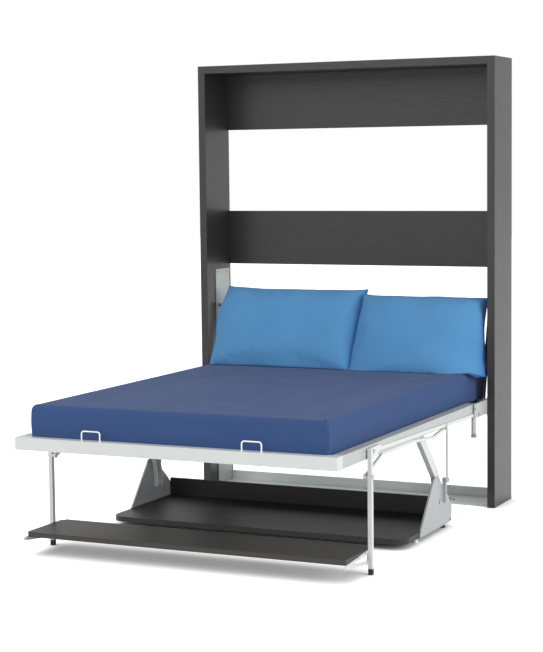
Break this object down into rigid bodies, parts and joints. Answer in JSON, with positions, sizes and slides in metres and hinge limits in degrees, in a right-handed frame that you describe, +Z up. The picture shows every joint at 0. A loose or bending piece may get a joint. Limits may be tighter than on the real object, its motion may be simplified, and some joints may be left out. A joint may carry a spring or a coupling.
{
  "type": "wall bed with fold-down desk",
  "caption": "Open wall cabinet with a slatted bed that folds up on side pivots while a desk and a shelf hang level beneath it.",
  "frame": {"origin": "on the floor, in the middle of the whole outline with the bed down", "axes": "+Z up, +Y towards the wall behind the cabinet, -Y towards the foot of the lowered bed, +X towards the right-hand cabinet side as seen from the foot"},
  "size_m": [1.588, 2.109, 2.18],
  "materials": {
    "dark_board": "matt near-black board",
    "dowel_wood": "plain turned beech",
    "rail_grey": "satin grey coat",
    "plate_grey": "satin light grey coat",
    "zinc": "zinc plated",
    "spring_black": "satin grey paint",
    "spring_rod": "polished rod",
    "bed_paint": "satin pale grey powder coat",
    "slat_wood": "sprung birch plywood",
    "holder_plastic": "moulded black",
    "link_paint": "satin pale grey powder coat",
    "bracket_paint": "satin light grey powder coat",
    "wire_paint": "white coated wire",
    "mattress_cloth": "navy woven ticking",
    "pillow_cloth": "blue cotton",
    "foot_rubber": "moulded black",
    "shelf_laminate": "satin brown-black laminate",
    "desk_laminate": "satin black laminate"
  },
  "bodies": {
    "cabinet": {"cabinet_side_left": "dark_board", "cabinet_side_right": "dark_board", "cabinet_top": "dark_board", "back_board_top": "dark_board", "back_board_middle": "dark_board", "cabinet_dowels": "dowel_wood", "floor_rail": "rail_grey", "floor_bolts": "zinc", "mechanism_plate_left": "plate_grey", "mechanism_plate_right": "plate_grey", "plate_screws": "zinc", "bed_pivot_pins": "zinc", "bar_pivot_pins": "zinc", "spring_top_studs": "zinc", "gas_cylinder_left": "spring_black", "gas_cylinder_right": "spring_black"},
    "bed": {"bed_rail_left": "bed_paint", "bed_rail_right": "bed_paint", "bed_rail_foot": "bed_paint", "bed_rail_head": "bed_paint", "cross_members": "bed_paint", "slats": "slat_wood", "slat_holders": "holder_plastic", "face_boards": "dark_board", "pivot_plate_left": "plate_grey", "pivot_plate_right": "plate_grey", "frame_bolts": "zinc", "side_stay_left": "link_paint", "side_stay_right": "link_paint", "desk_arm_left": "link_paint", "desk_arm_right": "link_paint", "leg_pivot_pins": "zinc", "desk_pivot_pins": "zinc", "mattress_retainers": "wire_paint", "mattress": "mattress_cloth", "pillow_left": "pillow_cloth", "pillow_right": "pillow_cloth"},
    "levelling_left": {"levelling_bar_left": "link_paint", "control_rod_left": "link_paint"},
    "levelling_right": {"levelling_bar_right": "link_paint", "control_rod_right": "link_paint"},
    "shelf_unit": {"leg_left": "link_paint", "leg_right": "link_paint", "leg_feet": "foot_rubber", "leg_link_pins": "zinc", "shelf_bracket_left": "link_paint", "shelf_bracket_right": "link_paint", "shelf_board": "shelf_laminate", "shelf_screws": "zinc"},
    "desk_unit": {"desk_top": "desk_laminate", "desk_upstand": "desk_laminate", "desk_bracket_left": "bracket_paint", "desk_bracket_right": "bracket_paint", "desk_feet": "foot_rubber", "desk_link_pins": "zinc", "desk_screws": "zinc"},
    "gas_rod_left": {"gas_rod_left": "spring_rod"},
    "gas_rod_right": {"gas_rod_right": "spring_rod"}
  },
  "joints": [
    {"name": "bed_fold", "type": "hinge", "parent": "cabinet", "child": "bed", "pos_m": [0, 0.6075, 0.378], "axis": [-1, 0, 0], "range_deg": [0, 90], "deforming": ["pillow_left", "pillow_right"]},
    {"name": "levelling_left_turn", "type": "hinge", "parent": "cabinet", "child": "levelling_left", "pos_m": [-0.749, 0.6575, 0.476], "axis": [-1, 0, 0], "range_deg": [0, 90]},
    {"name": "levelling_right_turn", "type": "hinge", "parent": "cabinet", "child": "levelling_right", "pos_m": [0.749, 0.6575, 0.476], "axis": [-1, 0, 0], "range_deg": [0, 90]},
    {"name": "shelf_level", "type": "hinge", "parent": "bed", "child": "shelf_unit", "pos_m": [0, -0.7455, 0.405], "axis": [-1, 0, 0], "range_deg": [-90, 0]},
    {"name": "desk_level", "type": "hinge", "parent": "bed", "child": "desk_unit", "pos_m": [0, 0.1575, 0.136], "axis": [-1, 0, 0], "range_deg": [-90, 0]},
    {"name": "gas_rod_left_slide", "type": "slide", "parent": "cabinet", "child": "gas_rod_left", "axis": [0, -0.2314, -0.9729], "range_m": [0, 0.33715]},
    {"name": "gas_rod_right_slide", "type": "slide", "parent": "cabinet", "child": "gas_rod_right", "axis": [0, -0.2314, -0.9729], "range_m": [0, 0.33715]}
  ],
  "couplings": [
    {"joint": "levelling_left_turn", "follows": "bed_fold", "ratio": 1},
    {"joint": "levelling_right_turn", "follows": "bed_fold", "ratio": 1},
    {"joint": "shelf_level", "follows": "bed_fold", "ratio": -1},
    {"joint": "desk_level", "follows": "bed_fold", "ratio": -1},
    {"joint": "gas_rod_left_slide", "follows": "bed_fold", "m_per_rad": 0.21463},
    {"joint": "gas_rod_right_slide", "follows": "bed_fold", "m_per_rad": 0.21463}
  ]
}
